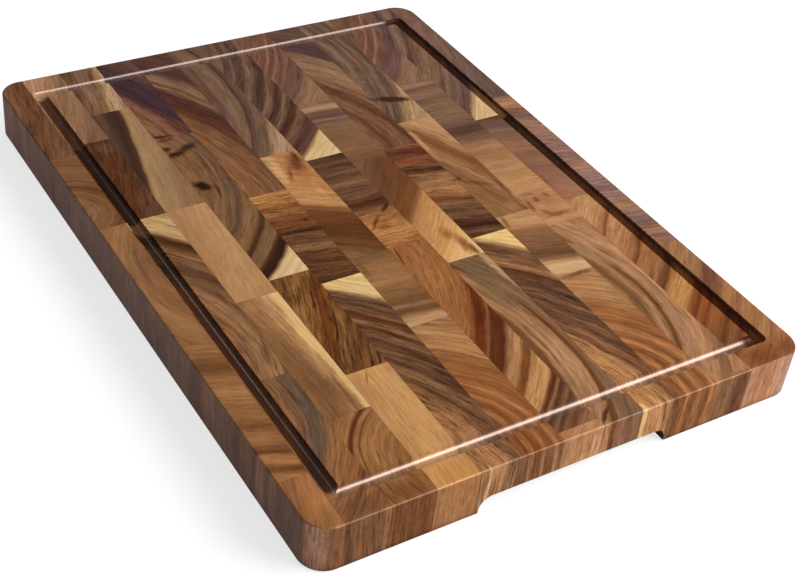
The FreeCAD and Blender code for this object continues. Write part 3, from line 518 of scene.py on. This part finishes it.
# painted shade: the long grooves are also tinted warmer and darker, as they lie in shade
long_groove_shade = t.math("MULTIPLY", groove, long_way)
tint = t.vmath("MULTIPLY", tint, t.combine(1.0, t.math("SUBTRACT", 1.0, t.math("MULTIPLY", long_groove_shade, 0.20)), t.math("SUBTRACT", 1.0, t.math("MULTIPLY", long_groove_shade, 0.42))))
colour = t.vmath("MULTIPLY", i["Colour"], tint)

bsdf = t.node("ShaderNodeBsdfPrincipled")
t.put(bsdf.inputs["Base Color"], colour)
rough = t.math("ADD", 0.66, around(n_fine, 0.18))
rough = t.math("ADD", rough, around(cloud, 0.24))
rough = t.math("SUBTRACT", rough, t.math("MULTIPLY", outer, 0.22))
rough = t.math("ADD", rough, t.math("MULTIPLY", pore, 0.22))
rough = t.math("SUBTRACT", rough, t.math("MULTIPLY", groove, 0.16))
rough = t.math("ADD", rough, t.math("MULTIPLY", rim_wear_and_highlight, 0.10))
t.put(bsdf.inputs["Roughness"], t.math("MINIMUM", t.math("MAXIMUM", rough, 0.22), 0.90))
bsdf.inputs["IOR"].default_value = 1.46
t.put(bsdf.inputs["Specular Tint"], t.mix(t.math("MULTIPLY", outer, long_side), (1, 1, 1, 1), (1.0, 0.88, 0.86, 1)))
shine = t.math("SUBTRACT", t.math("ADD", 0.20, t.math("MULTIPLY", outer, t.math("SUBTRACT", t.math("MULTIPLY", long_side, 0.36), 0.10))), t.math("MULTIPLY", long_groove_shade, 0.15))
t.put(bsdf.inputs["Specular IOR Level"], t.math("MULTIPLY", shine, t.math("SUBTRACT", 1.0, t.math("MULTIPLY", under, 0.92))))
# the groove is rubbed smooth and takes a shine
t.put(bsdf.inputs["Coat Weight"], t.math("ADD", t.math("MULTIPLY", t.math("MULTIPLY", groove, t.remap(x, -100.0, 100.0, 0.85, 1.0)), t.math("SUBTRACT", 1.0, t.math("MULTIPLY", long_way, t.remap(y, -10.0, 10.0, 0.72, 0.95)))), t.math("MULTIPLY", rim, 0.26)))
bsdf.inputs["Coat Roughness"].default_value = 0.26
bsdf.inputs["Coat IOR"].default_value = 2.0
height = t.math("ADD", t.math("MULTIPLY", n_fine, 0.35), t.math("MULTIPLY", n_hair, 0.20))
height = t.math("SUBTRACT", height, t.math("MULTIPLY", pore, 0.75))
height = t.math("SUBTRACT", height, t.math("MULTIPLY", joint, 0.45))
bump = t.node("ShaderNodeBump")
t.put(bump.inputs["Strength"], t.math("SUBTRACT", 0.35, t.math("MULTIPLY", groove, 0.30)))
bump.inputs["Distance"].default_value = 0.00006
t.put(bump.inputs["Height"], height)
t.put(bsdf.inputs["Normal"], bump.outputs[0])
t.put(o["BSDF"], bsdf.outputs[0])

# ------------------------------------------------------------------ one material per block


def wood(name, spec, index):
    m = bpy.data.materials.new("wood_" + name)
    m.use_nodes = True
    m.node_tree.nodes.clear()
    t = Tree(m.node_tree)
    lo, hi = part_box(name)
    bx, by = (lo.x + hi.x) * 500.0, (lo.y + hi.y) * 500.0
    cx, cy = mm(*spec["centre"])
    ux, uy = bx - cx, by - cy
    reach = math.hypot(ux, uy)
    seed = (17.3 * (index + 1) % 97.0, 31.7 * (index + 1) % 89.0, 11.9 * (index + 1) % 83.0)

    f = t.node("ShaderNodeGroup"); f.node_tree = g_field
    f.inputs["Centre"].default_value = (cx, cy, 0)
    f.inputs["Toward"].default_value = (ux / reach, uy / reach, 0)
    f.inputs["Reach"].default_value = reach
    f.inputs["Warp"].default_value = spec["warp"] * UNIT
    ang = 2.399963 * index
    f.inputs["Lean"].default_value = (0.05 * math.cos(ang), 0.05 * math.sin(ang), 0)
    f.inputs["Seed"].default_value = seed

    stops = []
    for s in spec["tones"]:
        if len(s) == 3:
            sx, sy = mm(s[0], s[1])
            stops.append((math.hypot(sx - cx, sy - cy), s[2]))
        else:
            stops.append((s[0] * UNIT, s[1]))
    # the lean shifts the rings at the top face, where the chart was drawn, so undo it there
    top = HI.z * 1000.0
    shift = -(0.05 * math.cos(ang) * ux + 0.05 * math.sin(ang) * uy) / reach * top
    stops = sorted((r - shift, c) for r, c in stops)
    r0, r1 = stops[0][0], stops[-1][0]
    ramp = t.node("ShaderNodeValToRGB")
    t.put(ramp.inputs[0], t.remap(f.outputs["Radius"], r0, r1, smooth=False))
    e = ramp.color_ramp.elements
    while len(e) > 1:
        e.remove(e[-1])
    e[0].position = 0.0
    e[0].color = lin(stops[0][1])
    for r, c in stops[1:]:
        k = e.new((r - r0) / (r1 - r0))
        k.color = lin(c)
    colour = ramp.outputs[0]
    for n, s in enumerate(spec["spots"]):
        g = t.node("ShaderNodeGroup"); g.node_tree = g_spot
        sx, sy = mm(s[0], s[1])
        t.put(g.inputs["Colour"], colour)
        t.put(g.inputs["Place"], f.outputs["Place"])
        g.inputs["Centre"].default_value = (sx, sy, 0)
        g.inputs["Turn"].default_value = math.radians(-s[4])
        g.inputs["Length"].default_value = s[2] * UNIT
        g.inputs["Width"].default_value = s[3] * UNIT
        g.inputs["Spot"].default_value = lin(s[5])
        g.inputs["Soft"].default_value = s[6]
        g.inputs["Seed"].default_value = (seed[0] + 5 * n, seed[1] - 3 * n, seed[2])
        colour = g.outputs["Colour"]
    g = t.node("ShaderNodeGroup"); g.node_tree = g_surf
    t.put(g.inputs["Colour"], colour)
    t.put(g.inputs["Radius"], f.outputs["Radius"])
    t.put(g.inputs["Arc"], f.outputs["Arc"])
    t.put(g.inputs["Place"], f.outputs["Place"])
    g.inputs["Seed"].default_value = seed
    for key in ("coarse", "fine", "line", "cross"):
        g.inputs[key.capitalize()].default_value = spec[key]
    g.inputs["Low"].default_value = tuple(a * 1000.0 - (500.0 if abs(a - b) < 0.0005 else 0.0) for a, b in ((lo.x, LO.x), (lo.y, LO.y))) + (0,)
    g.inputs["High"].default_value = tuple(a * 1000.0 + (500.0 if abs(a - b) < 0.0005 else 0.0) for a, b in ((hi.x, HI.x), (hi.y, HI.y))) + (0,)
    g.inputs["Inner"].default_value = (HI.x * 1000.0 - 12.0, HI.y * 1000.0 - 12.0, 0)
    g.inputs["Top"].default_value = top
    g.inputs["SideToneAndSheen"].default_value = spec["edge"]
    out = t.node("ShaderNodeOutputMaterial")
    t.put(out.inputs["Surface"], g.outputs["BSDF"])
    return m


for index, name in enumerate(sorted(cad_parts)):
    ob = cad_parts[name]
    m = wood(name, B[name], index)
    if not ob.material_slots:
        ob.data.materials.append(m)
    for s in ob.material_slots:
        s.material = m

# ------------------------------------------------------------------ floor, light, camera


def simple(name, colour, rough):
    m = bpy.data.materials.new(name)
    m.use_nodes = True
    b = m.node_tree.nodes["Principled BSDF"]
    b.inputs["Base Color"].default_value = colour
    b.inputs["Roughness"].default_value = rough
    return m


bpy.ops.mesh.primitive_plane_add(size=12.0, location=(0, 0, LO.z - 0.0002))
floor = bpy.context.object
floor.name = "floor"
pale = simple("pale_floor", (0.92, 0.92, 0.92, 1), 0.9)
ft = Tree(pale.node_tree)
path = ft.node("ShaderNodeLightPath").outputs
seen = path["Is Camera Ray"]
lit = pale.node_tree.nodes["Principled BSDF"]
ft.put(lit.inputs["Base Color"], ft.mix(seen, (0.34, 0.34, 0.34, 1), (0.40, 0.40, 0.40, 1)))
lit.inputs["Emission Color"].default_value = (1, 1, 1, 1)
ft.put(lit.inputs["Emission Strength"], ft.math("ADD", ft.math("MULTIPLY", seen, 0.72), ft.math("MULTIPLY", path["Is Glossy Ray"], 0.30)))
floor.data.materials.append(pale)

world = bpy.data.worlds.new("studio")
scene.world = world
world.use_nodes = True
bg = world.node_tree.nodes["Background"]
bg.inputs["Color"].default_value = (1, 1, 1, 1)
wt = Tree(world.node_tree)
wt.put(bg.inputs["Strength"], wt.math("ADD", 0.20, wt.math("MULTIPLY", wt.node("ShaderNodeLightPath").outputs["Is Camera Ray"], 0.75)))


def lamp(name, toward, along, distance, size, power, colour=(1, 1, 1)):
    """A soft box in the given direction from the board, its long side lying along the second direction."""
    data = bpy.data.lights.new(name, "AREA")
    data.shape = "RECTANGLE"
    data.size, data.size_y = size
    data.energy = power
    data.color = colour
    ob = bpy.data.objects.new(name, data)
    scene.collection.objects.link(ob)
    z = Vector(toward).normalized()
    x = Vector(along)
    x = (x - z * x.dot(z)).normalized()
    y = z.cross(x)
    ob.matrix_world = Matrix.Translation(z * distance) @ Matrix((x, y, z)).transposed().to_4x4()
    return ob


key = lamp("key", (0.53, 0.62, 0.55), (-0.62, 0.53, 0.0), 4.0, (2.6, 2.0), 180.0)
fill = lamp("fill", (-0.418, 0.453, 0.786), (0.883, 0.0, 0.469), 3.0, (5.2, 0.8), 26.0)
key.visible_glossy = fill.visible_glossy = False
# a broad sheet of light that is only seen mirrored, in the groove and along the rims
sheen = lamp("sheen", (0.64, 0.40, 0.60), (-0.15, 0.98, -0.1), 0.88, (0.84, 0.44), 7.8, (1.0, 0.85, 0.75))
sheen.visible_diffuse = False
# and a faint one beyond the far end, which draws a thin line down the long grooves
glint = lamp("glint", (-0.64, -0.31, 0.71), (0.0, 0.9, 0.4), 3.0, (0.5, 0.5), 5.5, (1.0, 0.82, 0.74))
glint.visible_diffuse = False

cam_data = bpy.data.cameras.new("camera")
cam = bpy.data.objects.new("camera", cam_data)
scene.collection.objects.link(cam)
cam_data.sensor_width = 36.0
cam_data.lens = 1463.8 / 797.0 * 36.0
cam_data.shift_x = (398.5 - 390.77) / 797.0
cam_data.shift_y = (287.45 - 289.0) / 797.0
cam_data.clip_start, cam_data.clip_end = 0.05, 50.0
right = Vector((0.51253458, 0.85361715, 0.09298418))
up = Vector((-0.56926105, 0.25672028, 0.78104837))
back = Vector((0.64284536, -0.45324657, 0.61750902))
rot = Matrix((right, up, back)).transposed()
cam.matrix_world = Matrix.Translation((0.7077499, -0.47304045, 0.63447943)) @ rot.to_4x4()
scene.camera = cam

scene.view_settings.view_transform = "Standard"
scene.view_settings.look = "None"
